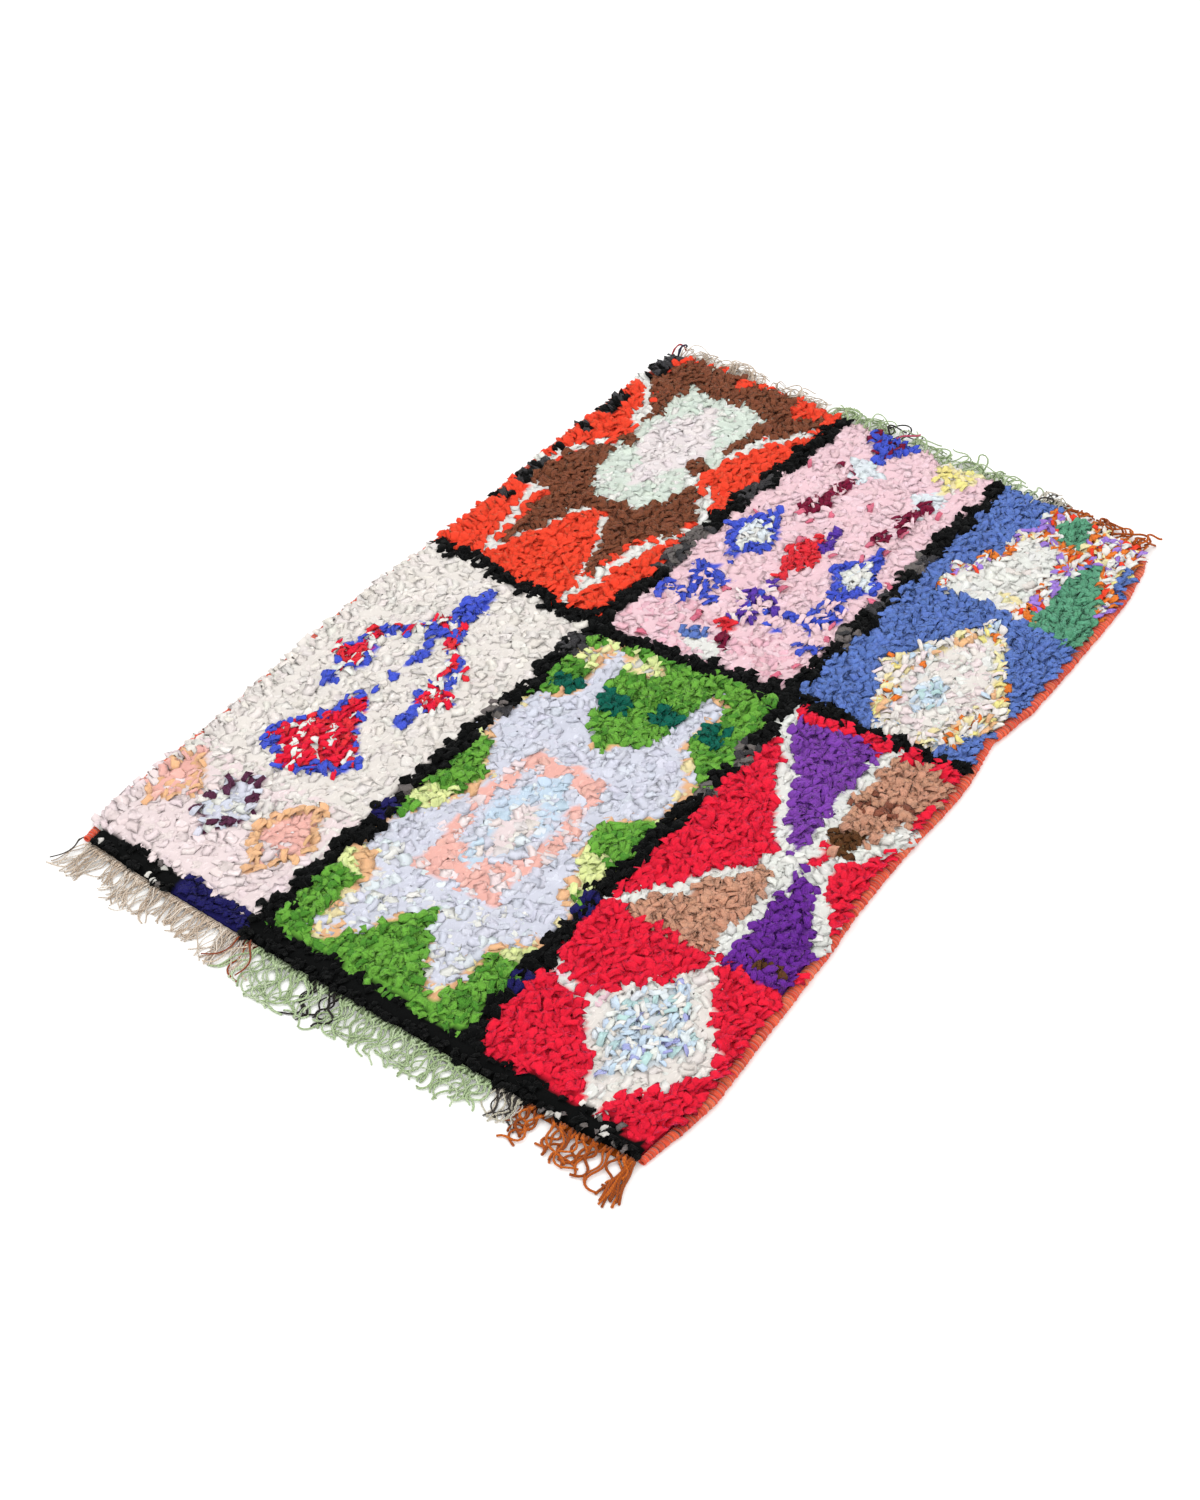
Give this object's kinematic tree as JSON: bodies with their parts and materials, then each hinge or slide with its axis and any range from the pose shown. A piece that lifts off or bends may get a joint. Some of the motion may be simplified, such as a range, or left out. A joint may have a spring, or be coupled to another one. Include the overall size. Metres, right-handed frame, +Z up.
{
  "type": "boucherouite rug",
  "caption": "Rectangular shaggy rag rug that lies flat, with overcast long sides and a warp fringe along each end.",
  "frame": {"origin": "centre of the base of the rug's box, on the surface that it lies on", "axes": "+Y along the rug's length, from the near end of the picture to its far end; +X across it, to the bound side that the picture shows; +Z up, through the pile"},
  "size_m": [1.0368, 1.7262, 0.0293],
  "materials": {
    "rag_pile": "knotted strips of recycled cotton cloth in many colours, in compartments of lozenges, hourglasses and crossed figures, matte",
    "overcast_yarn": "orange-red yarn wrapped round the edge cords, matte",
    "warp_ends": "twisted warp yarns in ecru, pale green, grey and rust, matte"
  },
  "bodies": {
    "root": {"rug_body": "rag_pile", "selvedge_left": "overcast_yarn", "selvedge_right": "overcast_yarn", "fringe_near": "warp_ends", "fringe_far": "warp_ends"}
  },
  "joints": []
}
